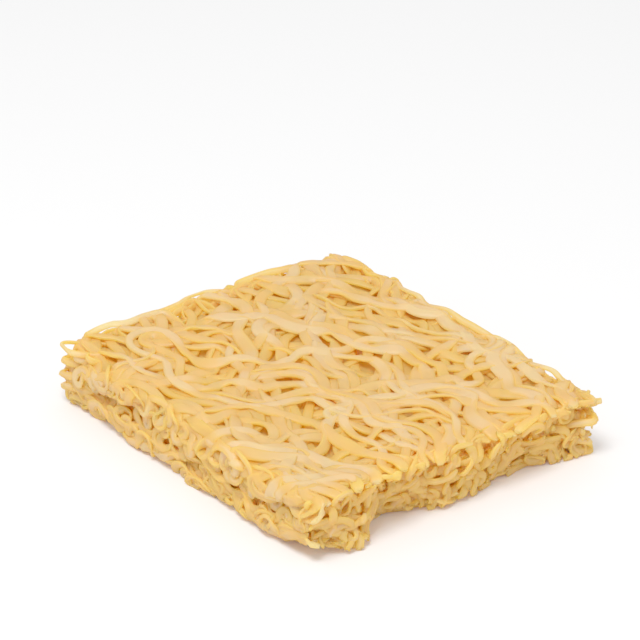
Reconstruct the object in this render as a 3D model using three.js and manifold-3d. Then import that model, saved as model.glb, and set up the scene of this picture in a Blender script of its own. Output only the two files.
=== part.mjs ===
// Block of dry rice ramen noodles: one sheet of wavy noodles, folded in half and dried.
// Millimetres, +Z up, resting on Z = 0 with the origin under the middle of the block.
// X runs along the noodles, from the fold at -X to the cut end at +X. Y runs across them.
// The block is one solid: a core in the shape of the folded sheet, with the noodles that show fused on.
import * as THREE from "three";
import { mergeVertices } from "three/addons/utils/BufferGeometryUtils.js";
import Module from "manifold-3d";

const wasm = await Module();
wasm.setup();

// Driving dimensions of the block.
const LENGTH = 110;
const WIDTH = 93;
const HEIGHT = 18.5;
const SEAM_HEIGHT = 0.54 * HEIGHT; // where the two halves of the folded sheet meet

// A noodle is a flat ribbon.
const NOODLE_WIDTH = 2.5;
const NOODLE_THICKNESS = 1.35;

// The core stops short of the outline by the noodles that lie over it.
const TOP_COVER = 1.7 * NOODLE_THICKNESS;
const BASE_COVER = 0.75 * NOODLE_THICKNESS;
const CUT_MARGIN = 4;
const SIDE_MARGIN = 2.8;
const FOLD_MARGIN = 0.75 * NOODLE_THICKNESS;
const CORE_BEVEL = 1.5;
const CORE_TOP = HEIGHT - TOP_COVER;
const SEAM_DEPTH = 5;
const SEAM_OPENING = 2.4;

// Long noodles lie on both faces, slanted across the block in slow waves.
const FACE_SLANT = Math.tan(THREE.MathUtils.degToRad(15));
const FACE_WAVE_LENGTH = 44;
const FACE_WAVE_HEIGHT = 2.8;
const FACE_DIP = 0.7; // how far a noodle sinks between the ones that it crosses
const FACE_STEP = 5.6; // length of one straight piece of a noodle
const TOP_SPACING = 6.8;
const BASE_SPACING = 17;
const BASE_FLATTENING = 0.25; // how far the lowest noodles are pressed flat

// Shorter noodles cross under the top ones, the other way, and show in the gaps.
const CROSS_SLANT = Math.tan(THREE.MathUtils.degToRad(-38));
const CROSS_LENGTH = 34;
const CROSS_STEPS = 6;
const CROSS_ROWS = 3;
const CROSS_PER_ROW = 4;

// Noodles run along the two long sides in loops.
const LOOP_WAVE_LENGTH = 16;
const LOOP_REACH = 1.6;
const LOOP_STEP = 3.8;

// Noodles go round the fold, from the top to the underside.
const FOLD_SPACING = 8.6;
const FOLD_TAIL = 7;
const FOLD_ARC_STEPS = 6;

// Cut ends stick out of both halves.
const STUB_SPACING = 9;
const STUB_ROWS_PER_HALF = 2;
const STUB_LENGTH = 8;
const STUB_STEPS = 1;

// Gaps narrower than this are closed, and hollows that this seals are filled.
const SMALLEST_GAP = 1e-3;

const SEED = 20;

// Seeded random numbers, so that every run gives the same block.
let randomState = SEED;
function random(low = 0, high = 1) {
  const modulus = 2 ** 32;
  randomState = (randomState * 1664525 + 1013904223) % modulus;
  return low + (high - low) * (randomState / modulus);
}

// The whole numbers and shares that loops run over.
const counted = (count) => Array.from({ length: count }, (_, i) => i);
const shares = (steps) => counted(steps + 1).map((i) => i / steps);

// Evenly spaced values that fill the space from -limit to limit.
function spread(limit, spacing) {
  const gaps = Math.round((2 * limit) / spacing);
  return shares(gaps).map((share) => limit * (2 * share - 1));
}

// A closed three.js geometry as a solid that can be joined and cut.
function solidOf(geometry, tolerance) {
  const bare = geometry.clone();
  bare.deleteAttribute("normal");
  bare.deleteAttribute("uv");
  const merged = mergeVertices(bare, tolerance);
  const mesh = new wasm.Mesh({
    numProp: 3,
    vertProperties: merged.attributes.position.array,
    triVerts: new Uint32Array(merged.index.array),
  });
  return new wasm.Manifold(mesh);
}

function geometryOf(solid) {
  const { vertProperties, triVerts } = solid.getMesh();
  const geometry = new THREE.BufferGeometry();
  geometry.setAttribute("position", new THREE.BufferAttribute(vertProperties, 3));
  geometry.setIndex(new THREE.BufferAttribute(triVerts, 1));
  geometry.computeVertexNormals();
  return geometry;
}

// A smooth path that a ribbon follows without twisting: its flat side faces `facing(point)` all the way.
class RibbonPath extends THREE.CatmullRomCurve3 {
  constructor(points, facing) {
    super(points);
    this.facing = facing;
  }

  computeFrenetFrames(steps) {
    const frames = { tangents: [], normals: [], binormals: [] };
    for (const share of shares(steps)) {
      const tangent = this.getTangentAt(share);
      const binormal = tangent.clone().cross(this.facing(this.getPointAt(share))).normalize();
      frames.tangents.push(tangent);
      frames.binormals.push(binormal);
      frames.normals.push(binormal.clone().cross(tangent));
    }
    return frames;
  }
}

const facingUp = () => new THREE.Vector3(0, 0, 1);
const facingSideways = () => new THREE.Vector3(0, 1, 0);

// The section's x lies along the ribbon's flat normal, and its y across the ribbon.
const RIBBON_SECTION = new THREE.Shape([
  new THREE.Vector2(NOODLE_THICKNESS / 2, NOODLE_WIDTH / 2),
  new THREE.Vector2(-NOODLE_THICKNESS / 2, NOODLE_WIDTH / 2),
  new THREE.Vector2(-NOODLE_THICKNESS / 2, -NOODLE_WIDTH / 2),
  new THREE.Vector2(NOODLE_THICKNESS / 2, -NOODLE_WIDTH / 2),
]);

function noodle(points, steps, facing) {
  const extrudePath = new RibbonPath(points, facing);
  return solidOf(new THREE.ExtrudeGeometry(RIBBON_SECTION, { steps, extrudePath, bevelEnabled: false }));
}

// Eases a value towards a limit, so that a noodle turns along a side instead of crossing it.
function easeToLimit(value, limit, ease) {
  const past = Math.abs(value) - (limit - ease);
  return past <= 0 ? value : Math.sign(value) * (limit - ease + ease * Math.tanh(past / ease));
}

// The core: the folded sheet seen from the side, round at the fold and notched at the cut end.
function core() {
  const radius = (CORE_TOP - BASE_COVER) / 2;
  const cutX = LENGTH / 2 - CUT_MARGIN;
  const foldX = -LENGTH / 2 + FOLD_MARGIN + radius;
  const profile = new THREE.Shape();
  profile.moveTo(cutX, BASE_COVER);
  profile.lineTo(cutX, SEAM_HEIGHT - SEAM_OPENING / 2);
  profile.lineTo(cutX - SEAM_DEPTH, SEAM_HEIGHT);
  profile.lineTo(cutX, SEAM_HEIGHT + SEAM_OPENING / 2);
  profile.lineTo(cutX, CORE_TOP);
  profile.lineTo(foldX, CORE_TOP);
  profile.absarc(foldX, BASE_COVER + radius, radius, Math.PI / 2, (3 * Math.PI) / 2, false);
  const depth = WIDTH - 2 * (SIDE_MARGIN + CORE_BEVEL);
  const slab = new THREE.ExtrudeGeometry(profile, {
    depth,
    curveSegments: FOLD_ARC_STEPS,
    bevelThickness: CORE_BEVEL,
    bevelSize: CORE_BEVEL,
    bevelOffset: -CORE_BEVEL,
    bevelSegments: 1,
  });
  slab.translate(0, 0, -depth / 2);
  slab.rotateX(Math.PI / 2);
  return solidOf(slab);
}

// The seam between the two halves, as a groove along each long side.
function sideSeam(side) {
  const groove = new THREE.BoxGeometry(LENGTH, SEAM_OPENING, SEAM_OPENING);
  groove.rotateX(Math.PI / 4);
  groove.translate(SEAM_DEPTH, side * (WIDTH / 2 - SIDE_MARGIN), SEAM_HEIGHT);
  return solidOf(groove);
}

// A long noodle on a face whose height is `outer`, from the fold towards the cut end. It is left out
// where it would only clip a corner of the block.
function faceNoodle(y0, outer, inward, slant) {
  const limit = WIDTH / 2 - 0.6 * NOODLE_WIDTH;
  const phase = random(0, 2 * Math.PI);
  const waveLength = FACE_WAVE_LENGTH * random(0.8, 1.25);
  const waveHeight = FACE_WAVE_HEIGHT * random(0.6, 1.3);
  const startX = -LENGTH / 2 + random(6, 9);
  const endX = LENGTH / 2 - random(0, 3);
  const points = [];
  for (let x = startX; x <= endX; x += FACE_STEP) {
    const turn = (2 * Math.PI * x) / waveLength + phase;
    const y = y0 + slant * x + waveHeight * Math.sin(turn);
    const dip = FACE_DIP * (0.5 + 0.5 * Math.sin(2.3 * turn));
    const z = outer + inward * (NOODLE_THICKNESS / 2 + dip);
    if (Math.abs(y) < limit + 2 * NOODLE_WIDTH) {
      points.push(new THREE.Vector3(x, easeToLimit(y, limit, NOODLE_WIDTH), z));
    }
  }
  const fewest = 5;
  return points.length < fewest ? [] : [noodle(points, points.length - 1, facingUp)];
}

function faceNoodles(outer, inward, spacing, slant) {
  const reach = WIDTH / 2 + (Math.abs(slant) * LENGTH) / 2;
  return spread(reach, spacing).flatMap((y0) =>
    faceNoodle(y0 + random(-0.25, 0.25) * spacing, outer, inward, slant),
  );
}

// A noodle that crosses under the top ones, bowed, with its ends sunk in the core.
function crossNoodle(x0, y0) {
  const limit = WIDTH / 2 - NOODLE_WIDTH;
  const bow = random(-4, 4);
  const points = shares(CROSS_STEPS).map((share) => {
    const along = share - 0.5;
    const bulge = 1 - 4 * along * along;
    const x = x0 + along * CROSS_LENGTH;
    const y = y0 + along * CROSS_LENGTH * CROSS_SLANT + bow * bulge;
    const z = CORE_TOP + NOODLE_THICKNESS * (0.35 * bulge - 0.25);
    return new THREE.Vector3(x, easeToLimit(y, limit, NOODLE_WIDTH), z);
  });
  return noodle(points, CROSS_STEPS, facingUp);
}

function crossNoodles() {
  const rowX = spread(LENGTH / 2 - 0.75 * CROSS_LENGTH, LENGTH / CROSS_ROWS);
  const placeY = spread(WIDTH / 2 - CROSS_LENGTH / 4, WIDTH / CROSS_PER_ROW);
  return rowX.flatMap((x) => placeY.map((y) => crossNoodle(x + random(-5, 5), y + random(-3, 3))));
}

// A noodle that runs along a long side in loops, up and down and out and in.
function sideNoodle(side, low, high) {
  const swing = (high - low - NOODLE_WIDTH) / 2;
  const phase = random(0, 2 * Math.PI);
  const waveLength = LOOP_WAVE_LENGTH * random(0.85, 1.2);
  const points = [];
  for (let x = -LENGTH / 2 + HEIGHT / 2; x <= LENGTH / 2 - CUT_MARGIN / 2; x += LOOP_STEP) {
    const turn = (2 * Math.PI * x) / waveLength + phase;
    const out = WIDTH / 2 - NOODLE_THICKNESS / 2 - LOOP_REACH * (0.5 + 0.5 * Math.sin(0.63 * turn));
    points.push(new THREE.Vector3(x, side * out, (low + high) / 2 + swing * Math.sin(turn)));
  }
  return noodle(points, points.length - 1, facingSideways);
}

function sideNoodles(side) {
  return [sideNoodle(side, BASE_COVER, SEAM_HEIGHT), sideNoodle(side, SEAM_HEIGHT, CORE_TOP)];
}

// A noodle that comes off the top, goes round the fold and runs back along the underside.
function foldNoodle(y0) {
  const axis = new THREE.Vector3(-LENGTH / 2 + HEIGHT / 2, y0, HEIGHT / 2);
  const radius = (HEIGHT - NOODLE_THICKNESS) / 2 - random(0, 0.6);
  const sway = random(-2.5, 2.5);
  const topTail = FOLD_TAIL * random(0.6, 1.4);
  const at = (x, y, z) => new THREE.Vector3(x, y, z).add(axis);
  const points = [
    at(topTail, sway, radius),
    ...shares(FOLD_ARC_STEPS).map((share) => {
      const angle = Math.PI * (0.5 + share);
      return at(radius * Math.cos(angle), 0.7 * sway * (1 - 2 * share), radius * Math.sin(angle));
    }),
    at(FOLD_TAIL, -sway, -radius),
  ];
  const away = (point) => new THREE.Vector3(Math.min(0, point.x - axis.x), 0, point.z - axis.z);
  return noodle(points, points.length, away);
}

function foldNoodles() {
  return spread(WIDTH / 2 - 2.2 * NOODLE_WIDTH, FOLD_SPACING).map((y0) => foldNoodle(y0 + random(-1, 1)));
}

// The cut end of a noodle, slanted and bent.
function stub(y0, z) {
  const endX = LENGTH / 2 - random(0, 2.4);
  const slant = random(-4, 4);
  const lift = random(-1, 1);
  const points = shares(STUB_STEPS).map((share) => {
    const x = endX - STUB_LENGTH * (1 - share);
    return new THREE.Vector3(x, y0 + slant * share, z + lift * share * share);
  });
  return noodle(points, STUB_STEPS, facingUp);
}

function stubs() {
  const limit = WIDTH / 2 - SIDE_MARGIN - 2 * NOODLE_WIDTH;
  const halves = [
    [BASE_COVER, SEAM_HEIGHT - SEAM_OPENING / 2],
    [SEAM_HEIGHT + SEAM_OPENING / 2, CORE_TOP],
  ];
  return halves.flatMap(([low, high]) =>
    counted(STUB_ROWS_PER_HALF).flatMap((row) => {
      const z = low + ((high - low) * (row + 0.5)) / STUB_ROWS_PER_HALF;
      return spread(limit, STUB_SPACING).map((y0) => stub(y0 + random(-2, 2), z + random(-0.6, 0.6)));
    }),
  );
}

// Everything below the resting face, which flattens the lowest noodles.
function belowTheBase() {
  const slab = new THREE.BoxGeometry(2 * LENGTH, 2 * WIDTH, HEIGHT);
  slab.translate(0, 0, -HEIGHT / 2);
  return solidOf(slab);
}

// The geometry of a solid, centred over the origin and standing on Z = 0.
function centred(solid) {
  const geometry = geometryOf(solid);
  geometry.computeBoundingBox();
  const middle = geometry.boundingBox.getCenter(new THREE.Vector3());
  return geometry.translate(-middle.x, -middle.y, -geometry.boundingBox.min.z);
}

// The largest body of a solid without its hollows. Closing narrow gaps seals more hollows, so this goes on
// until there is one body and nothing inside it.
function outerSkin(solid) {
  let skin = solid;
  let bodies = [];
  do {
    bodies = solidOf(centred(skin), SMALLEST_GAP).decompose();
    bodies.sort((a, b) => b.volume() - a.volume());
    skin = bodies[0];
  } while (bodies.length > 1);
  return geometryOf(skin);
}

// The core and the noodles, joined.
function noodleBlock() {
  let block = core().subtract(sideSeam(-1)).subtract(sideSeam(1));
  const noodles = [
    ...faceNoodles(HEIGHT, -1, TOP_SPACING, FACE_SLANT),
    ...crossNoodles(),
    ...faceNoodles(-BASE_FLATTENING, 1, BASE_SPACING, -FACE_SLANT),
    ...sideNoodles(-1),
    ...sideNoodles(1),
    ...foldNoodles(),
    ...stubs(),
  ];
  for (const one of noodles) block = block.add(one);
  return outerSkin(block.subtract(belowTheBase()));
}

const dryNoodle = new THREE.MeshStandardMaterial({ color: 0xeac17a, roughness: 0.55, metalness: 0 });
const block = new THREE.Mesh(noodleBlock(), dryNoodle);
block.name = "noodle_block";

const part = new THREE.Group();
part.add(block);

export default part;
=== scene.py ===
# Block of dry rice ramen noodles: one sheet of wavy ribbon noodles, folded in half and dried.
import math

import bpy
import numpy as np
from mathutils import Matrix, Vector


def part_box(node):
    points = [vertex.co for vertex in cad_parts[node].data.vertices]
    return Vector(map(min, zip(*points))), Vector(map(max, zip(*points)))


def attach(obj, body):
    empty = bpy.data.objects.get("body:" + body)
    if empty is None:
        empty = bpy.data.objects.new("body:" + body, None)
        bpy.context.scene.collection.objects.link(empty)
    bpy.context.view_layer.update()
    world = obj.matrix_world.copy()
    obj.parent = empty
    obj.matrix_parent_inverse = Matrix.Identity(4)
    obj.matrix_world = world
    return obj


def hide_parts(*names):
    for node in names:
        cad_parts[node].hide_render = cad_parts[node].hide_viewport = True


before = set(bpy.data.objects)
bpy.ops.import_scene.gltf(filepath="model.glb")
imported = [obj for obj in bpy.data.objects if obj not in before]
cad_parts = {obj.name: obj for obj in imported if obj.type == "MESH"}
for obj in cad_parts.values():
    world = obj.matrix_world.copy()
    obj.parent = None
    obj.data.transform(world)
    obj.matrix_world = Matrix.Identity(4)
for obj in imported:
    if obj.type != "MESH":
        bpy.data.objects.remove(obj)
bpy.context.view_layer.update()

# Sizes are in millimetres. The block's own come from the frame, in metres.
MM_PER_M = 1000
low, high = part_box("noodle_block")
LENGTH, WIDTH, HEIGHT = [MM_PER_M * (b - a) for a, b in zip(low, high)]
NOODLE_WIDTH = 3.2
NOODLE_THICKNESS = 1.05

# The sheet is flat before it is folded: u runs along it, v across it and h up from its inner side.
# The fold is at u = 0, the lower half has u < 0, and both ends are cut.
FOLD_GAP = 0.6
SHEET_THICKNESS = HEIGHT / 2 - FOLD_GAP
UNSTRETCHED_SHARE = 0.75
FOLD_RADIUS = FOLD_GAP + UNSTRETCHED_SHARE * SHEET_THICKNESS
FOLD_REACH = FOLD_RADIUS * math.pi / 2
FOLD_SQUARENESS = 11
FOLD_X = -LENGTH / 2 + HEIGHT / 2
HALF_LENGTH = FOLD_REACH + LENGTH / 2 - FOLD_X
TOP = SHEET_THICKNESS - NOODLE_THICKNESS / 2

# The sheet is wider than the block: its sides are bent over the long edges and reach some way down.
NEAR_RADIUS, OTHER_RADIUS = 5.0, 1.8
OVERHANG = 4.3
SIDE = WIDTH / 2 + OVERHANG

UP = (0, 0, 1)
LONG_SIDES = ((0.0, -1.0, 0.0), (0.0, 1.0, 0.0))
FAR_SIDE = LONG_SIDES[1]
FOLD_SIDE = (-1.0, 0.0, 0.0)
CUT_SIDE = (1.0, 0.0, 0.0)

STEP = 0.8
SEED = 7
random = np.random.default_rng(SEED)
WANDER_SPREAD = 0.6


def smooth(values, rounds):
    """Evens out a row of values, with its ends kept."""
    values = np.array(values, float)
    for _ in range(rounds):
        values[1:-1] = 0.5 * values[1:-1] + 0.25 * (values[:-2] + values[2:])
    return values


def wander(count, spacing):
    """A smooth random row of values, about -1 to 1, that changes over some points."""
    knots = random.normal(0, WANDER_SPREAD, int(count / spacing) + 5)
    place = np.arange(count) / spacing + random.random()
    return smooth(np.interp(place, np.arange(len(knots)), knots), int(spacing))


def unit(vectors):
    return vectors / (np.linalg.norm(vectors, axis=-1, keepdims=True) + 1e-12)


def limited(value, most):
    return max(-most, min(most, value))


def signed_power(values, power):
    return np.sign(values) * np.abs(values) ** power


def angle_between(start, end):
    return (end - start + math.pi) % (2 * math.pi) - math.pi


def smooth_noise(shortest, longest, count=7):
    """A smooth random function of two places, from about -1 to 1."""
    length = random.uniform(shortest, longest, count)
    angle, phase = random.uniform(0, 2 * math.pi, (2, count))
    along = 2 * math.pi * np.cos(angle) / length
    across = 2 * math.pi * np.sin(angle) / length
    scale = math.sqrt(2 / count)

    def value(u, v):
        waves = np.sin(along * np.asarray(u)[..., None] + across * np.asarray(v)[..., None] + phase)
        return scale * np.sum(waves, axis=-1)

    return value


class Grid:
    """Values on the flat sheet, in square cells."""

    def __init__(self, cell, value=0.0):
        self.cell = cell
        self.shape = (int(2 * HALF_LENGTH / cell) + 2, int(2 * SIDE / cell) + 2)
        self.values = np.full(self.shape, value)

    def cells(self, points):
        i = ((points[..., 0] + HALF_LENGTH) / self.cell).astype(int)
        j = ((points[..., 1] + SIDE) / self.cell).astype(int)
        return np.clip(i, 0, self.shape[0] - 1), np.clip(j, 0, self.shape[1] - 1)

    def centres(self):
        u = (np.arange(self.shape[0]) + 0.5) * self.cell - HALF_LENGTH
        v = (np.arange(self.shape[1]) + 0.5) * self.cell - SIDE
        return np.meshgrid(u, v, indexing="ij")

    def at(self, u, v):
        i = min(max(int((u + HALF_LENGTH) / self.cell), 0), self.shape[0] - 1)
        j = min(max(int((v + SIDE) / self.cell), 0), self.shape[1] - 1)
        return self.values[i, j]

    def blurred(self, reach):
        """The values averaged over squares of 2 * reach + 1 cells, twice."""
        values = self.values
        for axis in (0, 1, 0, 1):
            ends = [(reach + 1, reach) if a == axis else (0, 0) for a in (0, 1)]
            total = np.cumsum(np.pad(values, ends, mode="edge"), axis=axis)
            size = values.shape[axis]
            ahead = np.take(total, np.arange(2 * reach + 1, 2 * reach + 1 + size), axis=axis)
            behind = np.take(total, np.arange(size), axis=axis)
            values = (ahead - behind) / (2 * reach + 1)
        return values


SWAY_LENGTH = (40, 90)
CROWD_CELL = 1.5
all_crowd = Grid(CROWD_CELL)


class Layer:
    """Noodles that run the same way. In degrees: their directions at the fold and at the cut ends, the sway
    of all and the waves of each. They keep apart by steering, and some have a twin or a hairpin."""

    def __init__(self, level, at_fold, at_cut, sway, wave, wave_length, spacing, steer, twins, hairpins=0.0):
        self.level = level
        self.at_fold, self.at_cut = math.radians(at_fold), math.radians(at_cut)
        self.sway = math.radians(sway)
        self.wave = math.radians(wave)
        self.wave_length = wave_length
        self.spacing = spacing
        self.steer = steer
        self.twins = twins
        self.hairpins = hairpins
        self.noise = smooth_noise(*SWAY_LENGTH)
        self.crowd = Grid(CROWD_CELL)

    def flow(self, u, v):
        share = abs(u) / HALF_LENGTH
        return self.at_fold + (self.at_cut - self.at_fold) * share + self.sway * self.noise(u, v)


# From the core of the sheet to its outer face.
LAYERS = [
    Layer(2, at_fold=-35, at_cut=-30, sway=12, wave=30, wave_length=24, spacing=4.2, steer=0.08, twins=0.1),
    Layer(3, at_fold=30, at_cut=15, sway=12, wave=34, wave_length=24, spacing=4.8, steer=0.08, twins=0.2),
    Layer(4, at_fold=-40, at_cut=-36, sway=12, wave=34, wave_length=24, spacing=8.0, steer=0.08, twins=0.15),
    Layer(5, at_fold=48, at_cut=5, sway=15, wave=40, wave_length=23, spacing=9.0, steer=0.07, twins=0.3,
          hairpins=0.3),
    Layer(6, at_fold=36, at_cut=8, sway=15, wave=40, wave_length=25, spacing=9.0, steer=0.06, twins=0.4,
          hairpins=0.35),
]

# How a noodle walks over the sheet. Pairs are ranges.
WAVE_LENGTH_SHARE = (0.7, 1.3)
WAVE_SHARE = (0.5, 1.25)
STRAY = math.radians(26)
RAGGED_END = 1.5
STUB_LENGTH = (3, 8)
STUB_TURN = 0.05
HALF_WALK_LENGTH = (35, 80)
LOOK_AHEAD = 3
LOOK_ASIDE = 2.6
OTHERS_CROWD = 0.4
MOST_CROWD = 1.5
PULL = 0.3
MOST_PULL = 0.2
NEVER = 1e9

# How it turns at a long side, and in a hairpin.
TURN_RADIUS = (1.7, 3.6)
TURN_INSET = 0.7
BACK_AFTER = 30
BACK_TILT = 0.2
BACK_SHARE = 0.8
LEAST_INTO = 0.15
INTO_SPREAD = (-0.2, 0.35)
DEFLECTED_LENGTH = (10, 24)
HAIRPIN_AFTER = (15, 120)
HAIRPIN_TURN = (0.9, 1.1)
HAIRPIN_RADIUS = (1.9, 3.0)


def sense_along(heading, flow):
    """The angle from the flow to a noodle that runs with it or against it."""
    return 0.0 if abs(angle_between(heading, flow)) < math.pi / 2 else math.pi


def half_walk(u, v, heading, layer, limit):
    """A noodle's path up to a cut end or a length. At a long side it turns back or glances off."""
    points = []
    wave_length = layer.wave_length * random.uniform(*WAVE_LENGTH_SHARE)
    wave = layer.wave * random.uniform(*WAVE_SHARE)
    phase = random.uniform(0, 2 * math.pi)
    stray = random.normal(0, STRAY)
    end = HALF_LENGTH - abs(random.normal(0, RAGGED_END))
    stub = random.uniform(*STUB_LENGTH)
    stub_turn = random.normal(0, STUB_TURN)
    turn_rate = turn_left = deflect = deflect_left = length = 0.0
    since_turn = NEVER
    radius = random.uniform(*TURN_RADIUS)
    inset = abs(random.normal(0, TURN_INSET))
    hairpin_at = random.uniform(*HAIRPIN_AFTER) if random.random() < layer.hairpins else NEVER
    sense = sense_along(heading, layer.flow(u, v))
    while length < limit and abs(u) < end:
        points.append((u, v))
        length += STEP
        since_turn += STEP
        if turn_left > 0:
            heading += turn_rate * STEP
            turn_left -= abs(turn_rate) * STEP
            if turn_left <= 0:
                flow = layer.flow(u, v)
                sense = sense_along(heading, flow)
                deflect = angle_between(flow + sense, heading)
                deflect_left = deflect_length = random.uniform(*DEFLECTED_LENGTH)
                since_turn = 0.0
                radius = random.uniform(*TURN_RADIUS)
                inset = abs(random.normal(0, TURN_INSET))
        else:
            target = layer.flow(u, v) + sense + stray
            target += wave * math.sin(2 * math.pi * length / wave_length + phase)
            if deflect_left > 0:
                target += deflect * deflect_left / deflect_length
                deflect_left -= STEP
            cos, sin = math.cos(heading), math.sin(heading)
            ahead_u, ahead_v = u + LOOK_AHEAD * cos, v + LOOK_AHEAD * sin
            crowd = 0.0
            for aside in (-LOOK_ASIDE, LOOK_ASIDE):
                here = (ahead_u - aside * sin, ahead_v + aside * cos)
                there = layer.crowd.at(*here) + OTHERS_CROWD * all_crowd.at(*here)
                crowd += math.copysign(1, aside) * there
            heading += limited(PULL * angle_between(heading, target), MOST_PULL)
            heading -= layer.steer * limited(crowd, MOST_CROWD)
            if abs(u) > end - stub:
                heading += stub_turn
            side = 1 if v > 0 else -1
            outward = side * math.sin(heading)
            if outward > 0:
                tilt = math.asin(min(1, outward))
                back = since_turn > BACK_AFTER and tilt > BACK_TILT and random.random() < BACK_SHARE
                reach = radius * (1 + math.cos(tilt)) if back else radius * (1 - math.cos(tilt))
                if side * v + reach > SIDE - inset:
                    forward = 1 if math.cos(heading) > 0 else -1
                    into = max(LEAST_INTO, tilt + random.uniform(*INTO_SPREAD))
                    turn_left = math.pi - tilt + into if back else tilt + into
                    turn_rate = side * forward * (1 if back else -1) / radius
            if length > hairpin_at and turn_left <= 0:
                hairpin_at = NEVER
                turn_left = math.pi * random.uniform(*HAIRPIN_TURN)
                turn_rate = random.choice([-1, 1]) / random.uniform(*HAIRPIN_RADIUS)
        u += STEP * math.cos(heading)
        v = limited(v + STEP * math.sin(heading), SIDE)
    return points


def walk(u, v, layer):
    heading = layer.flow(u, v)
    ahead = half_walk(u, v, heading, layer, random.uniform(*HALF_WALK_LENGTH))
    behind = half_walk(u, v, heading + math.pi, layer, random.uniform(*HALF_WALK_LENGTH))
    return smooth(np.array(behind[:0:-1] + ahead), 2)


def across(path):
    """Unit vectors to the left of a path."""
    along = unit(np.gradient(path, axis=0))
    return np.stack([-along[:, 1], along[:, 0]], axis=1)


TWIN_PERIOD = (50, 90)
TWIN_APART = 0.85
TWIN_PARTING = 2.0


def twin(path):
    """A second noodle that lies against the first for part of its way."""
    share = np.arange(len(path)) * STEP / random.uniform(*TWIN_PERIOD) + random.random()
    apart = TWIN_APART * NOODLE_WIDTH + TWIN_PARTING * np.maximum(0, np.sin(2 * math.pi * share)) ** 2
    other = path + random.choice([-1, 1]) * apart[:, None] * across(path)
    other[:, 1] = np.clip(other[:, 1], -SIDE, SIDE)
    return smooth(other, 4)


# Where noodles start, and how much each crowds the places at some distances to its left.
START_FROM_END, START_FROM_SIDE = 4, 2
START_NOISE = 0.3
START_TAKEN = 0.4
START_REACH = 2
OTHERS_TAKEN = 0.5
FEWEST_POINTS = 12
CROWDING = ((-2.4, 0.15), (-1.2, 0.35), (0, 0.5), (1.2, 0.35), (2.4, 0.15))


def layer_paths(layer):
    """Paths that fill a layer evenly: each starts where the layer is emptiest."""
    wanted = 4 * HALF_LENGTH * SIDE / layer.spacing
    taken = Grid(CROWD_CELL)
    u, v = taken.centres()
    outside = (np.abs(u) > HALF_LENGTH - START_FROM_END) | (np.abs(v) > SIDE - START_FROM_SIDE)
    taken.values = np.where(outside, NEVER, random.uniform(0, START_NOISE, taken.shape))
    found = []
    done = 0.0
    while done < wanted:
        crowd = layer.crowd.blurred(START_REACH)
        empty = taken.values + crowd + OTHERS_TAKEN * all_crowd.blurred(START_REACH)
        i, j = np.unravel_index(np.argmin(empty), empty.shape)
        first_i, first_j = max(0, i - START_REACH), max(0, j - START_REACH)
        taken.values[first_i:i + START_REACH + 1, first_j:j + START_REACH + 1] += START_TAKEN
        paths = [walk(u[i, j], v[i, j], layer)]
        if len(paths[0]) < FEWEST_POINTS:
            continue
        if random.random() < layer.twins:
            paths.append(twin(paths[0]))
        for path in paths:
            found.append(path)
            done += STEP * len(path)
            for offset, weight in CROWDING:
                places = path + offset * across(path)
                np.add.at(layer.crowd.values, layer.crowd.cells(places), weight)
                np.add.at(all_crowd.values, all_crowd.cells(places), weight)
    return found


# The core fills the middle of the sheet. The noodles of its outer face lie on it.
CORE_TOP = 5.05
CORE_LUMPS = 0.5
CORE_INNER = 1.0
CORE_INSET = 4.5
CORE_END_INSET = 5
# The core's tone is the darkest: painted shade where it shows through the gaps.
CORE_SHADE_TONE = -0.1
core_lumps = smooth_noise(7, 20, count=12)


def core_top(u, v):
    return CORE_TOP + CORE_LUMPS * core_lumps(u, v)


# The sheet builds up on grids: its height so far, the height under its top noodle, and which one that is.
HEIGHT_CELL = 0.5
height, below, owner = Grid(HEIGHT_CELL), Grid(HEIGHT_CELL), Grid(HEIGHT_CELL, -1)
height.values = core_top(*height.centres())
FOOTPRINT = np.linspace(-0.42, 0.42, 7) * NOODLE_WIDTH
ARCH = NOODLE_THICKNESS * (1 - 0.5 * (FOOTPRINT / (0.5 * NOODLE_WIDTH)) ** 2)
LEVEL_WANDER = 2.4
CHUNK = 10
CHUNK_REACH = 8
SINK = 0.35
SAG = 0.01
FAR_BELOW = -9

# The sheet is pressed to an even thickness, with its highest noodles eased below its top.
PRESSED = 3.2
PRESS_REACH = 8
LEAST_HEIGHT = 0.5
PRESS_SCALE = (0.4, 1.7)
KNEE = TOP - 0.8
KNEE_EASE = 1.5
MOST_TILT = 0.6

# A noodle's end goes down between the others, unless it is near a cut end of the sheet.
CUT_END = 6
DIVE_DEPTH = 3.0
DIVE_LENGTH = 9
DIVE_POWER = 1.5


def eased(values):
    """The inner values of a row, drawn towards their neighbours."""
    return 0.4 * values[1:-1] + 0.3 * (values[:-2] + values[2:])


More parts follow.
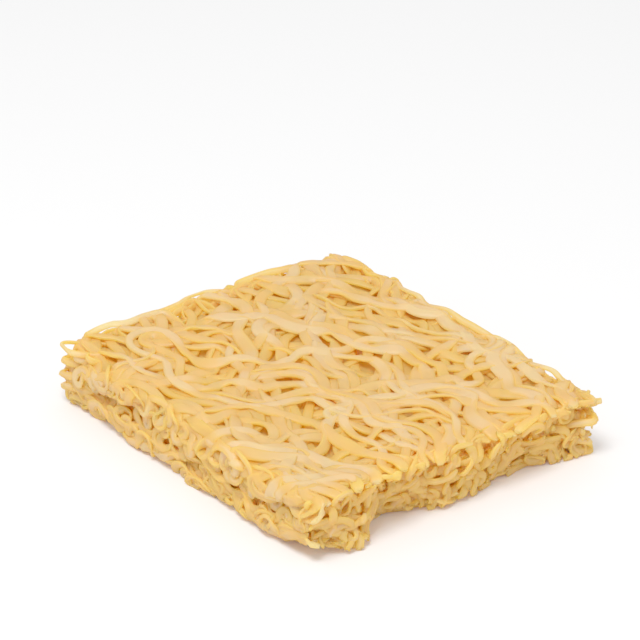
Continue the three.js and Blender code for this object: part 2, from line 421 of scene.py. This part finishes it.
class Noodle:
    """A path on the flat sheet, with its height there and the level at which each stretch is laid."""

    def __init__(self, number, path, layer):
        self.number = number
        self.path = path
        self.layer = layer
        self.height = np.full(len(path), np.nan)
        self.support = np.zeros(len(path))
        self.slope = np.zeros(len(path))
        self.level = layer + LEVEL_WANDER * wander(len(path), 12)
        self.cells = height.cells(path[:, None, :] + FOOTPRINT[None, :, None] * across(path)[:, None, :])

    def lay(self, start):
        """Lays a stretch on the sheet. It bends over what it crosses and sags in between."""
        end = min(start + CHUNK, len(self.path))
        i, j = self.cells[0][start:end], self.cells[1][start:end]
        mine = owner.values[i, j] == self.number
        under = np.where(mine, below.values[i, j], height.values[i, j])
        support = 0.5 * (under.max(axis=1) + under.mean(axis=1)) - SINK
        uneven = under - under.mean(axis=1, keepdims=True)
        self.slope[start:end] = uneven @ FOOTPRINT / np.sum(FOOTPRINT ** 2)
        self.support[start:end] = support
        first, last = max(0, start - CHUNK_REACH), min(len(self.path), end + CHUNK_REACH)
        here = slice(start - first, end - first)
        z = self.height[first:last].copy()
        free = np.isnan(z)
        z[here] = support
        lowest = np.where(np.isnan(z), FAR_BELOW, z)
        z = np.where(np.isnan(z), support[0] if start > first else support[-1], z)
        for _ in range(24):
            z[1:-1] = np.where(free[1:-1], eased(z) - SAG, z[1:-1])
            z = np.maximum(z, lowest)
        self.height[start:end] = z[here]
        new = z[here][:, None] + ARCH[None, :]
        higher = new > height.values[i, j]
        covered = higher & ~mine
        below.values[i[covered], j[covered]] = height.values[i[covered], j[covered]]
        owner.values[i[higher], j[higher]] = self.number
        np.maximum.at(height.values, (i, j), new)

    def settle(self):
        """Evens out the heights of the whole noodle."""
        z = self.height
        for _ in range(10):
            z[1:-1] = eased(z)
            z = np.maximum(z, self.support)
        self.height = smooth(z, 4) + NOODLE_THICKNESS / 2

    def press(self, local_height):
        """Brings the sheet to an even thickness: thick places are pressed, thin ones are filled."""
        core = core_top(self.path[:, 0], self.path[:, 1])
        here = local_height[height.cells(self.path)]
        scale = np.clip(PRESSED / np.maximum(LEAST_HEIGHT, here - CORE_TOP), *PRESS_SCALE)
        z = core + (self.height - core) * scale
        past = np.maximum(0, z - KNEE)
        z = np.where(z < KNEE, z, KNEE + (TOP - KNEE) * np.tanh(past / (TOP - KNEE) / KNEE_EASE))
        self.height = smooth(z - self.dive(), 4)

    def roll(self):
        """The ribbon lies flat on what is under it, and stands up in tight turns."""
        return banked(self.path) + np.clip(np.arctan(smooth(self.slope, 6)), -MOST_TILT, MOST_TILT)

    def dive(self):
        """How far down the noodle is at its ends."""
        from_start = STEP * np.arange(len(self.path))
        down = np.zeros(len(self.path))
        for distance, tip in ((from_start, self.path[0]), (from_start[::-1], self.path[-1])):
            if abs(tip[0]) < HALF_LENGTH - CUT_END:
                down += DIVE_DEPTH * np.clip(1 - distance / DIVE_LENGTH, 0, 1) ** DIVE_POWER
        return down


noodles = []
for layer in LAYERS:
    for path in layer_paths(layer):
        noodles.append(Noodle(len(noodles), path, layer.level))
stretches = [(one.level[start], one, start) for one in noodles for start in range(0, len(one.path), CHUNK)]
stretches.sort(key=lambda stretch: stretch[0])
for _, one, start in stretches:
    one.lay(start)
for one in noodles:
    one.settle()
sheet_height = height.blurred(PRESS_REACH)
for one in noodles:
    one.press(sheet_height)

LEAST_ARM = 0.4


def over_edges(u, v, h):
    """How far across and how high points of the flat sheet come to lie, and how far it is bent there."""
    upper = np.clip(0.5 + u / FOLD_REACH, 0, 1)
    radius = OTHER_RADIUS + np.where(v < 0, upper, 0) * (NEAR_RADIUS - OTHER_RADIUS)
    start = WIDTH / 2 - NOODLE_THICKNESS / 2 - radius
    past = np.maximum(0, np.abs(v) - start)
    bend = np.minimum(past / radius, math.pi / 2)
    arm = np.maximum(LEAST_ARM, h - TOP + radius)
    down = np.maximum(0, past - radius * math.pi / 2)
    y = np.sign(v) * (np.minimum(np.abs(v), start) + arm * np.sin(bend))
    return y, np.where(past > 0, TOP - radius + arm * np.cos(bend) - down, h), bend


def fold(u, v, h):
    """Points of the folded block for points of the flat sheet, and the directions out of the sheet there."""
    y, h, bend = over_edges(u, v, h)
    angle = np.clip(u / FOLD_RADIUS, -math.pi / 2, math.pi / 2)
    past = np.maximum(0, np.abs(u) - FOLD_REACH)
    cos, sin = np.cos(angle), np.sin(angle)
    fuller = (np.abs(cos) ** FOLD_SQUARENESS + np.abs(sin) ** FOLD_SQUARENESS) ** (-1 / FOLD_SQUARENESS)
    out = np.stack([-cos, np.zeros_like(cos), sin], axis=-1)
    points = ((FOLD_GAP + h) * fuller)[..., None] * out
    points[..., 0] += FOLD_X + past
    points[..., 1] += y
    points[..., 2] += HEIGHT / 2
    out *= np.cos(bend)[..., None]
    out[..., 1] = np.sign(v) * np.sin(bend)
    return points, out


SIDE_BAND = 2.5
BANK, SIDE_BANK = 1.8, 2.5
SIDE_LEAN = 0.4
ROLL_WANDER = 0.4


def bending(path):
    steps = np.gradient(path, axis=0)
    return smooth(np.gradient(np.unwrap(np.arctan2(steps[:, 1], steps[:, 0]))) / STEP, 6)


def banked(path):
    """The roll of a flat ribbon: it stands up where it turns sharply, most of all at the long sides."""
    near_side = np.exp(-((SIDE - np.abs(path[:, 1])) / SIDE_BAND) ** 2)
    lean = np.tanh((BANK + SIDE_BANK * near_side) * np.abs(bending(path)))
    lean = random.choice([-1, 1]) * lean * (1 + SIDE_LEAN * near_side)
    return lean + ROLL_WANDER * wander(len(path), 15)


BOX_MARGIN = 0.02
BOX_MIDDLE = np.array([0, 0, HEIGHT / 2])
BOX_HALF = np.array([LENGTH, WIDTH, HEIGHT]) / 2 - BOX_MARGIN
BOX_EASE = 0.8

# The lower half's cut edge is set back unevenly, by these distances at these places across the block.
EDGE_Y = [-46, -38, -29, -24, -20, -12, -3, 7, 17, 27, 37, 46]
EDGE_BACK = [3.0, 1.0, 0.5, 7.0, 11, 8.0, 3.6, 3.0, 6.5, 7.5, 4.0, 2.0]
EDGE_REACH = 25
LOWER_AT_TABLE = 1.25
LOWER_REACH = 0.75 * HEIGHT

# The corner of the cut end and the near long side is lifted off the table. The opposite one is rounded.
CORNER = np.array([LENGTH / 2, -WIDTH / 2])
CORNER_LIFT = 4.5
CORNER_REACH = 14
BACK_CORNER = np.array([-LENGTH / 2, WIDTH / 2])
BACK_ROUNDED = 2.0
BACK_REACH = 9

# The two halves part a little at the cut end, in a seam beside the nearest corner.
SEAM_Y, SEAM_Z = -33, 12.5
SEAM_LENGTH, SEAM_REACH = 12, 14
SEAM_OPENING = 1.6
SEAM_EASE = 0.8

# Each of the four sides has lumps of its own: the axis that it lies across, its end of it, and the lumps.
SIDE_REACH = 14
SIDE_POWER = 1.5
SIDE_INSET = 0.7
LUMP_MIDDLE, LUMP_HEIGHT = 0.4, 1.3
LUMP_LIMITS = (-0.6, 2.6)
SIDES = [(axis, side, smooth_noise(9, 28, count=10)) for axis in (0, 1) for side in (-1, 1)]


def shaped(points):
    """Points of the plain block moved to its uneven outline."""
    x, y, z = points[..., 0], points[..., 1], points[..., 2]
    near_end = np.clip((x - LENGTH / 2 + EDGE_REACH) / EDGE_REACH, 0, 1)
    lower = np.clip(LOWER_AT_TABLE - z / LOWER_REACH, 0, 1)
    back = np.interp(y, EDGE_Y, EDGE_BACK) * near_end ** 2 * lower
    to_corner = np.linalg.norm(points[..., :2] - CORNER, axis=-1)
    lift = CORNER_LIFT * np.exp(-(to_corner / CORNER_REACH) ** 2) * (1 - z / HEIGHT)
    along_seam = np.exp(-((y - SEAM_Y) / SEAM_LENGTH) ** 2)
    near_seam = np.clip((x - LENGTH / 2 + SEAM_REACH) / SEAM_REACH, 0, 1) * along_seam
    lift += SEAM_OPENING * near_seam * np.tanh((z - SEAM_Z) / SEAM_EASE)
    moved = points + np.stack([-back, 0 * back, lift], axis=-1)
    to_back = np.linalg.norm(points[..., :2] - BACK_CORNER, axis=-1)
    moved[..., :2] -= BACK_ROUNDED * np.exp(-(to_back / BACK_REACH) ** 2)[..., None] * unit(BACK_CORNER)
    for axis, side, lumps in SIDES:
        near = np.clip((side * moved[..., axis] - BOX_HALF[axis] + SIDE_REACH) / SIDE_REACH, 0, 1)
        lump = LUMP_MIDDLE + LUMP_HEIGHT * lumps(moved[..., 1 - axis], 2 * z)
        moved[..., axis] -= side * (SIDE_INSET * np.clip(lump, *LUMP_LIMITS)) * near ** SIDE_POWER
    return moved


def kept_inside(points):
    """Points near the block's outer faces eased inside them."""
    past = np.maximum(0, np.abs(points - BOX_MIDDLE) - BOX_HALF + BOX_EASE)
    return points - np.sign(points - BOX_MIDDLE) * (past - BOX_EASE * np.tanh(past / BOX_EASE))


# The ribbons' sections, how they vary from noodle to noodle and along each, and their tones, which are
# partly random and partly painted shade and highlight.
FACE_SIDES, DEEP_SIDES = 10, 6
FACE_SQUARENESS = 3.5
WIDTH_SHARE = (0.75, 1.15)
WIDTH_WANDER = 0.2
THICKNESS_SHARE = (0.9, 1.1)
TIP_SHARE, TIP_GROWTH = 0.55, 0.25
# The loops at the sides and the pieces at the cut end have lower tones than the face: painted shade on the
# sides, darkest on the cut end.
FACE_LIGHT, LOOP_SHADED_TONE, CUT_SHADED_TONE = 0.88, 0.65, 0.1
# Noodles deeper in the block get darker, golden tones: painted shade of the recesses.
PAINTED_SHADE_FROM, PAINTED_SHADE_OVER = 0.6, 2.0
TONE_SPREAD = 0.5
TONE_WANDER = 0.2
# Each ribbon is painted paler along its middle and darker at its edges: a painted highlight and painted
# shade.
PAINTED_SHADING_ACROSS = 0.35


def sweep(points, out, roll, sides=FACE_SIDES, width=NOODLE_WIDTH, thickness=NOODLE_THICKNESS,
          squareness=FACE_SQUARENESS, light=FACE_LIGHT):
    """The surface of one noodle, as rings of points, and their tones: painted shade makes deep places and
    the ribbon's edges darker, and a painted highlight makes its middle paler.
    """
    depth = np.min(BOX_HALF - np.abs(points - BOX_MIDDLE), axis=1)
    points = shaped(points)
    along = unit(np.gradient(points, axis=0))
    flat = unit(out - np.sum(out * along, axis=1, keepdims=True) * along)
    wide = np.cross(along, flat)
    cos, sin = np.cos(roll)[:, None], np.sin(roll)[:, None]
    flat, wide = flat * cos + wide * sin, wide * cos - flat * sin
    turn = np.linspace(0, 2 * math.pi, sides, endpoint=False)
    x = signed_power(np.cos(turn), 2 / squareness)
    y = signed_power(np.sin(turn), 2 / squareness)
    from_end = np.minimum(np.arange(len(points)), np.arange(len(points))[::-1])
    blunt = np.minimum(1, TIP_SHARE + TIP_GROWTH * from_end)
    half_wide = 0.5 * width * random.uniform(*WIDTH_SHARE)
    half_wide = half_wide * (1 + WIDTH_WANDER * wander(len(points), 12)) * blunt
    half_thick = 0.5 * thickness * random.uniform(*THICKNESS_SHARE) * blunt
    rings = points[:, None, :] + (half_wide[:, None] * x)[..., None] * wide[:, None, :]
    rings += (half_thick[:, None] * y)[..., None] * flat[:, None, :]
    # Painted shade: the tone falls with the noodle's depth in the block.
    tone_and_shading = light - np.clip((depth - PAINTED_SHADE_FROM) / PAINTED_SHADE_OVER, 0, 1)
    tone_and_shading += TONE_SPREAD * (random.random() - 0.5) + TONE_WANDER * wander(len(points), 14)
    # Across each ribbon the tone adds a painted highlight in the middle and painted shade at the edges.
    return kept_inside(rings), tone_and_shading[:, None] + PAINTED_SHADING_ACROSS * (1 - 2 * np.abs(x))[None, :]


# Round the sides the noodles lie in rings and loops, at all heights of the block and some way in.
LOOPED = dict(sides=8, width=2.5, thickness=0.85, squareness=2.2)
CUT = dict(sides=8, width=2.1, thickness=0.95, squareness=2.6)
STRAY_LOOP = dict(sides=8, width=2.3, thickness=0.8, squareness=2.2)
LOOP_POINTS = 18
LOOP_SIZE, CUT_LOOP_SIZE = 2.3, 2.6
LOOP_DISTANCE = (2.3, 3.3)
LOOP_UNEVENNESS, CUT_UNEVENNESS = 0.8, 1.6
ROW_HEIGHTS = np.linspace(1.8, HEIGHT - 5.0, 5)
ROW_ENDS = 5
ROW_WANDER = 1.5
PHASE_WANDER = 2.0
LOOP_WIDE, LOOP_WIDE_WANDER = 1.3, 0.6
LOOP_TALL, LOOP_TALL_WANDER = 1.0, 0.4
LEAST_PACE, PACE_WANDER = 0.2, 0.9
LOOP_TILT = 0.8
LOWEST_LOOP, HIGHEST_LOOP = 0.6, HEIGHT - 0.8
FACING_WANDER, LEAN_WANDER = 0.8, 0.5


def looped_noodle(length, row, depth, unevenness=LOOP_UNEVENNESS, size=LOOP_SIZE):
    """A noodle that goes along a side in loops: how far along it, out of it and up each point is."""
    turns = length / random.uniform(LOOP_DISTANCE[0] * size, LOOP_DISTANCE[1] * size)
    count = int(turns * LOOP_POINTS)
    phase = random.choice([-1, 1]) * 2 * math.pi * np.arange(count) / LOOP_POINTS
    phase = phase + PHASE_WANDER * wander(count, 12)
    wide = size * (LOOP_WIDE + LOOP_WIDE_WANDER * wander(count, LOOP_POINTS))
    tall = size * (LOOP_TALL + LOOP_TALL_WANDER * wander(count, LOOP_POINTS))
    pace = np.cumsum(np.maximum(LEAST_PACE, 1 + PACE_WANDER * wander(count, LOOP_POINTS)))
    along = (pace / pace[-1] - 0.5) * length + wide * np.cos(phase)
    up = row + ROW_WANDER * wander(count, 24) + tall * np.sin(phase)
    lean = random.uniform(0, 2 * math.pi)
    out = unevenness * (LOOP_TILT * np.sin(phase + lean) + wander(count, 15)) - depth
    return smooth(np.stack([along, out, np.clip(up, LOWEST_LOOP, HIGHEST_LOOP)], axis=1), 2)


def standing(route, side, outward, light=LOOP_SHADED_TONE, lean=None, shape=LOOPED):
    """The surface of a noodle whose route goes along, out of and up a side. It faces outward, unless it
    has a lean, which is its angle from lying flat."""
    outward = np.array(outward)
    along = np.cross(outward, UP)
    points = route[:, :1] * along + (side + route[:, 1:2]) * outward + route[:, 2:] * UP
    if lean is None:
        facing = outward
        roll = FACING_WANDER * wander(len(route), 10)
    else:
        facing = np.array(UP, float)
        roll = lean + LEAN_WANDER * wander(len(route), 12)
    return sweep(points, np.tile(facing, (len(route), 1)), roll, light=light, **shape)


def long_side_noodles(depth):
    """Loops at both long sides."""
    found = []
    for outward in LONG_SIDES:
        for row in ROW_HEIGHTS:
            route = looped_noodle(LENGTH - ROW_ENDS, row, depth)
            found.append(standing(route, WIDTH / 2, outward))
    return found


def fold_noodles(depth):
    """Loops at the fold."""
    routes = [looped_noodle(WIDTH - ROW_ENDS, row, depth) for row in ROW_HEIGHTS]
    return [standing(route, LENGTH / 2, FOLD_SIDE) for route in routes]


# The pieces at the cut ends. Towards the far long side, a gap between the two halves is kept free of them.
PIECE_POINTS = (8, 15)
LEAST_LEFT = 10
PIECE_TURN = 0.7
PIECE_SHIFT = 0.7
PIECE_INSET = 0.5
LOWEST_PIECE, HIGHEST_PIECE = 0.8, HEIGHT - 1.5
GAP_ALONG = -19
GAP_HALF_HEIGHT = 1.4


def broken(route):
    """The pieces of a noodle that is cut up, each turned and moved a little."""
    pieces = []
    start = 0
    while start < len(route) - LEAST_LEFT:
        end = start + int(random.uniform(*PIECE_POINTS))
        piece = route[start:end]
        middle = piece.mean(axis=0)
        angle = random.normal(0, PIECE_TURN)
        cos, sin = math.cos(angle), math.sin(angle)
        turned = (piece - middle) @ np.array([[cos, sin, 0], [-sin, cos, 0], [0, 0, 1]])
        moved = turned + middle + random.normal(0, PIECE_SHIFT, 3)
        moved[:, 1] = np.minimum(moved[:, 1], -PIECE_INSET)
        moved[:, 2] = np.clip(moved[:, 2], LOWEST_PIECE, HIGHEST_PIECE)
        pieces.append(moved)
        start = end
    return pieces


def cut_noodles(depth):
    """Pieces at the cut ends, which stick out in all directions."""
    found = []
    for row in ROW_HEIGHTS:
        for piece in broken(looped_noodle(WIDTH - ROW_ENDS, row, depth, CUT_UNEVENNESS, CUT_LOOP_SIZE)):
            along, _, up = piece.mean(axis=0)
            if along >= GAP_ALONG or abs(up - SEAM_Z) >= GAP_HALF_HEIGHT:
                found.append(standing(piece, LENGTH / 2, CUT_SIDE, CUT_SHADED_TONE, shape=CUT))
    return found


# Single loops that stick out. Pairs are ranges of their width, depth and lean.
SHORT_LOOPS = ((2.5, 5, 0.9), (5.0, 8, 1.6))
LONG_LOOPS = ((10, 5, -0.7), (16, 7, -0.1))
CORNER_LOOPS = ((2.2, 8, 0.5), (3.8, 12, 1.3))
LONG_LOOP = 8
SHORT_LOOP_SPACING = 14
SHORT_LOOP_ENDS = 12
SHORT_LOOP_INSET = 0.9
LONG_LOOP_INSET = 1.0
CORNER_LOOP_INSET = 0.5
LOOP_SHIFT = 1.5
LOOP_ENDS = (-0.15, 1.15)
LONG_BOW, SHORT_BOW = 0.4, 1
LONG_OUT_WANDER, SHORT_OUT_WANDER = 1.4, 0.5
ALONG_WANDER = 0.8
UP_WANDER = 1.2
ENDS_SUNK = 1.5

# The edges with short loops, with the block's sizes along and across them. The far ones have long loops as
# well, at these places along them, and two corners have loops at these heights.
SHORT_LOOP_EDGES = [(side, LENGTH, WIDTH) for side in LONG_SIDES] + [(FOLD_SIDE, WIDTH, LENGTH)]
LONG_LOOP_EDGES = [(FAR_SIDE, WIDTH, (-36, -20, 0, 16, 36)), (FOLD_SIDE, LENGTH, (-28, -6, 20))]
LOOP_CORNERS = [(-1, -1, (15.5, 12.5, 9.5, 6.5, 3)), (1, 1, (15.5, 12, 4))]


def stray_loop(middle, row, measures, side, outward):
    """A loop at a place along an edge and a height, with its width, depth and lean. It reaches to a side."""
    size, deep, lean = measures
    long = size > LONG_LOOP
    count = int(20 + 3 * size)
    turn = np.linspace(*LOOP_ENDS, count) * math.pi
    bow = signed_power(np.sin(turn), LONG_BOW if long else SHORT_BOW)
    along = middle + size * np.cos(turn) + random.normal(0, LOOP_SHIFT) * np.sin(turn)
    along = along + ALONG_WANDER * wander(count, 7)
    out = deep * (bow - 1) + (LONG_OUT_WANDER if long else SHORT_OUT_WANDER) * wander(count, 7)
    inward = -1 if row > HEIGHT / 2 else 1
    up = row + UP_WANDER * wander(count, 9) + inward * ENDS_SUNK * (1 - bow)
    up = np.clip(up, LOWEST_LOOP, HEIGHT - LOWEST_LOOP)
    route = smooth(np.stack([along, out, up], axis=1), 2)
    return standing(route, side, outward, lean=lean, shape=STRAY_LOOP)


def stray_loops():
    """Short loops along the edges, long ones along the top's far edges, and some at two corners."""
    found = []
    for outward, length, apart in SHORT_LOOP_EDGES:
        for number in range(int(length / SHORT_LOOP_SPACING)):
            inset = SHORT_LOOP_INSET + abs(random.normal(0, LOOP_SHIFT))
            row = HEIGHT - inset if number % 3 < 2 else inset
            middle = random.uniform(-0.5, 0.5) * (length - SHORT_LOOP_ENDS)
            measures = random.uniform(*SHORT_LOOPS)
            side = apart / 2 - abs(random.normal(0, 1))
            found.append(stray_loop(middle, row, measures, side, outward))
    for outward, apart, middles in LONG_LOOP_EDGES:
        for middle in middles:
            measures = random.uniform(*LONG_LOOPS)
            side = apart / 2 - LONG_LOOP_INSET
            found.append(stray_loop(middle, HEIGHT - LONG_LOOP_INSET, measures, side, outward))
    half = math.sqrt(0.5)
    for x, y, rows in LOOP_CORNERS:
        outward = (half * x, half * y, 0.0)
        corner = np.array([x * LENGTH / 2, y * WIDTH / 2, 0])
        middle = corner @ np.cross(outward, UP)
        side = corner @ outward - CORNER_LOOP_INSET
        for row in rows + random.normal(0, 1.0, len(rows)):
            measures = random.uniform(*CORNER_LOOPS)
            found.append(stray_loop(middle + random.normal(0, LOOP_SHIFT), row, measures, side, outward))
    return found


def add_mesh(name, vertices, faces, tones_and_shading):
    """A smooth mesh object from points in millimetres and rows of faces with equally many corners."""
    corners = np.concatenate([rows.ravel() for rows in faces])
    sizes = np.concatenate([np.full(len(rows), rows.shape[1]) for rows in faces])
    starts = np.cumsum(sizes) - sizes
    mesh = bpy.data.meshes.new(name)
    mesh.vertices.add(len(vertices))
    mesh.vertices.foreach_set("co", (vertices / MM_PER_M).ravel())
    mesh.loops.add(len(corners))
    mesh.loops.foreach_set("vertex_index", corners.astype(np.int32))
    mesh.polygons.add(len(starts))
    mesh.polygons.foreach_set("loop_start", starts.astype(np.int32))
    mesh.polygons.foreach_set("use_smooth", np.ones(len(starts), bool))
    mesh.update(calc_edges=True)
    mesh.validate()
    # The tone attribute holds the noodles' tones, random ones together with their painted shade and
    # highlight.
    tone_and_shading = mesh.attributes.new("tone_and_shading", "FLOAT", "POINT")
    tone_and_shading.data.foreach_set("value", tones_and_shading.astype(np.float32))
    piece = bpy.data.objects.new(name, mesh)
    bpy.context.scene.collection.objects.link(piece)
    return piece


def joined(name, surfaces):
    """One mesh object of many closed noodles."""
    vertices, quads, caps, tones_and_shading = [], [], [], []
    first = 0
    for rings, tone_and_shading in surfaces:
        count, sides = rings.shape[:2]
        ring = np.arange(sides)
        base = first + sides * np.arange(count - 1)[:, None]
        a, b = base + ring, base + np.roll(ring, -1)
        quads.append(np.stack([b, b + sides, a + sides, a], axis=-1).reshape(-1, 4))
        caps.append(first + ring)
        caps.append(first + sides * (count - 1) + ring[::-1])
        vertices.append(rings.reshape(-1, 3))
        tones_and_shading.append(tone_and_shading.ravel())
        first += count * sides
    faces = [np.concatenate(quads), np.stack(caps)]
    return add_mesh(name, np.concatenate(vertices), faces, np.concatenate(tones_and_shading))


def core():
    """The closed core of the folded sheet: a lumpy outer side, an even inner side and a rim between them."""
    u = np.linspace(CORE_END_INSET - HALF_LENGTH, HALF_LENGTH - CORE_END_INSET, 100)
    v = np.linspace(CORE_INSET - WIDTH / 2, WIDTH / 2 - CORE_INSET, 45)
    uu, vv = np.meshgrid(u, v, indexing="ij")
    outer = shaped(fold(uu, vv, core_top(uu, vv))[0]).reshape(-1, 3)
    inner = shaped(fold(uu, vv, np.full_like(uu, CORE_INNER))[0]).reshape(-1, 3)
    number = np.arange(uu.size).reshape(uu.shape)
    a, b, c, d = number[:-1, :-1], number[1:, :-1], number[1:, 1:], number[:-1, 1:]
    skin = np.stack([a, b, c, d], axis=-1).reshape(-1, 4)
    rim = np.concatenate([number[:, 0], number[-1, 1:], number[-2::-1, -1], number[0, -2:0:-1]])
    after = np.roll(rim, -1)
    band = np.stack([rim, rim + uu.size, after + uu.size, after], axis=-1)
    faces = [np.concatenate([skin, skin[:, ::-1] + uu.size, band])]
    return add_mesh("core", np.concatenate([outer, inner]), faces, np.full(2 * uu.size, CORE_SHADE_TONE))


def layer_surfaces(level):
    """The surfaces of the noodles of one layer, folded with the sheet. The deep layers are plainer."""
    sides = FACE_SIDES if level > 3 else DEEP_SIDES
    chosen = [one for one in noodles if one.layer == level]
    return [sweep(*fold(*one.path.T, one.height), one.roll(), sides) for one in chosen]


# The numbers of the looped and cut noodles are how deep they lie in the block.
pieces = [
    core(),
    joined("inner_noodles", layer_surfaces(2)),
    joined("middle_noodles", layer_surfaces(3)),
    joined("crossing_noodles", layer_surfaces(4)),
    joined("under_noodles", layer_surfaces(5)),
    joined("face_noodles", layer_surfaces(6)),
    joined("side_noodles", long_side_noodles(2.0) + stray_loops()),
    joined("inner_side_noodles", long_side_noodles(4.5)),
    joined("end_noodles", fold_noodles(1.2) + cut_noodles(1.6)),
    joined("inner_end_noodles", fold_noodles(4.0) + cut_noodles(3.2) + cut_noodles(5.0) + cut_noodles(7.0)),
]

# The colours of dry noodle for tones from dark to light, and the share of light that comes through. The
# darker colours mostly show painted shade of deep, side and cut-end noodles.
COLOURS = [
    (0.0, (1.0, 0.795, 0.18)),
    (0.35, (0.995, 0.778, 0.20)),
    (0.7, (0.99, 0.795, 0.27)),
    (1.0, (0.995, 0.875, 0.46)),
]
TRANSLUCENCY = 0.66
TONE_NOISE = 0.25
TONE_NOISE_SCALE = 90
GRAIN_SCALE = 900
GRAIN_STRENGTH = 0.15
GRAIN_DEPTH = 0.0002


def dry_noodle():
    """The material of all noodles: a colour for each tone, slightly glossy, and light comes through."""
    material = bpy.data.materials.new("dry_rice_noodle")
    material.use_nodes = True
    nodes = material.node_tree.nodes
    links = material.node_tree.links
    shader = nodes["Principled BSDF"]
    # The tone read here is partly random and partly painted shade and highlight.
    tone_and_shading = nodes.new("ShaderNodeAttribute")
    tone_and_shading.attribute_name = "tone_and_shading"
    noise = nodes.new("ShaderNodeTexNoise")
    noise.inputs["Scale"].default_value = TONE_NOISE_SCALE
    noise.inputs["Detail"].default_value = 3
    where = nodes.new("ShaderNodeTexCoord")
    links.new(where.outputs["Object"], noise.inputs["Vector"])
    mixed = nodes.new("ShaderNodeMath")
    mixed.operation = "MULTIPLY_ADD"
    mixed.inputs[1].default_value = TONE_NOISE
    links.new(noise.outputs["Fac"], mixed.inputs[0])
    links.new(tone_and_shading.outputs["Fac"], mixed.inputs[2])
    ramp = nodes.new("ShaderNodeValToRGB")
    elements = ramp.color_ramp.elements
    elements.remove(elements[1])
    for number, (place, colour) in enumerate(COLOURS):
        element = elements.new(place) if number else elements[0]
        element.position = place
        element.color = (*colour, 1)
    links.new(mixed.outputs[0], ramp.inputs["Fac"])
    links.new(ramp.outputs["Color"], shader.inputs["Base Color"])
    shader.inputs["Roughness"].default_value = 0.42
    shader.inputs["Specular IOR Level"].default_value = 0.9
    grain = nodes.new("ShaderNodeTexNoise")
    grain.inputs["Scale"].default_value = GRAIN_SCALE
    links.new(where.outputs["Object"], grain.inputs["Vector"])
    bump = nodes.new("ShaderNodeBump")
    bump.inputs["Strength"].default_value = GRAIN_STRENGTH
    bump.inputs["Distance"].default_value = GRAIN_DEPTH
    links.new(grain.outputs["Fac"], bump.inputs["Height"])
    links.new(bump.outputs["Normal"], shader.inputs["Normal"])
    through = nodes.new("ShaderNodeBsdfTranslucent")
    links.new(ramp.outputs["Color"], through.inputs["Color"])
    mix = nodes.new("ShaderNodeMixShader")
    mix.inputs["Fac"].default_value = TRANSLUCENCY
    links.new(shader.outputs["BSDF"], mix.inputs[1])
    links.new(through.outputs["BSDF"], mix.inputs[2])
    links.new(mix.outputs["Shader"], nodes["Material Output"].inputs["Surface"])
    return material


noodle_material = dry_noodle()
for piece in pieces:
    piece.data.materials.append(noodle_material)
    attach(piece, "root")
    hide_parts("noodle_block")

# Floor, world light and key light, in metres and watts.
scene = bpy.context.scene
FLOOR_HALF = 3
FLOOR_COLOUR = (0.93, 0.93, 0.93, 1)
WORLD_LIGHT = 0.65
KEY_PLACE = Vector((0.23, -0.36, 0.91))
KEY_SIZE = 0.35
KEY_POWER = 5.8
floor_corners = [(FLOOR_HALF * x, FLOOR_HALF * y, 0) for x, y in ((-1, -1), (1, -1), (1, 1), (-1, 1))]
floor_mesh = bpy.data.meshes.new("floor")
floor_mesh.from_pydata(floor_corners, [], [(0, 1, 2, 3)])
floor = bpy.data.objects.new("floor", floor_mesh)
scene.collection.objects.link(floor)
pale = bpy.data.materials.new("pale_floor")
pale.use_nodes = True
pale_shader = pale.node_tree.nodes["Principled BSDF"]
pale_shader.inputs["Base Color"].default_value = FLOOR_COLOUR
pale_shader.inputs["Roughness"].default_value = 0.8
floor_mesh.materials.append(pale)

world = bpy.data.worlds.new("studio")
scene.world = world
world.use_nodes = True
background = world.node_tree.nodes["Background"]
background.inputs["Color"].default_value = (1, 1, 1, 1)
background.inputs["Strength"].default_value = WORLD_LIGHT

key_data = bpy.data.lights.new("key", "AREA")
key_data.size = KEY_SIZE
key_data.energy = KEY_POWER
key = bpy.data.objects.new("key", key_data)
key.location = KEY_PLACE
key.rotation_euler = (-KEY_PLACE).to_track_quat("-Z", "Y").to_euler()
scene.collection.objects.link(key)

# The camera looks at the block as in the photograph, from the side between the cut end and a long side.
AZIMUTH = math.radians(52.5)
ELEVATION = math.radians(28.06)
FOCAL_PIXELS = 3500
PIXELS_PER_MM = 3.866
SENSOR = 36
PICTURE = 640
MIDDLE_X, MIDDLE_Y = 326.4, 397.3
distance = FOCAL_PIXELS / PIXELS_PER_MM / MM_PER_M
level = math.cos(ELEVATION)
towards = Vector((math.sin(AZIMUTH) * level, -math.cos(AZIMUTH) * level, math.sin(ELEVATION)))
camera_data = bpy.data.cameras.new("camera")
camera_data.sensor_width = SENSOR
camera_data.lens = FOCAL_PIXELS * SENSOR / PICTURE
camera_data.shift_x = (PICTURE / 2 - MIDDLE_X) / PICTURE
camera_data.shift_y = (MIDDLE_Y - PICTURE / 2) / PICTURE
camera = bpy.data.objects.new("camera", camera_data)
camera.location = Vector((0, 0, HEIGHT / 2 / MM_PER_M)) + distance * towards
camera.rotation_euler = towards.to_track_quat("Z", "Y").to_euler()
scene.collection.objects.link(camera)
scene.camera = camera
scene.view_settings.view_transform = "Standard"
scene.view_settings.gamma = 1.5

# Light goes through many noodles before it comes out again.
scene.cycles.max_bounces = 32
scene.cycles.diffuse_bounces = 16
scene.cycles.transmission_bounces = 32
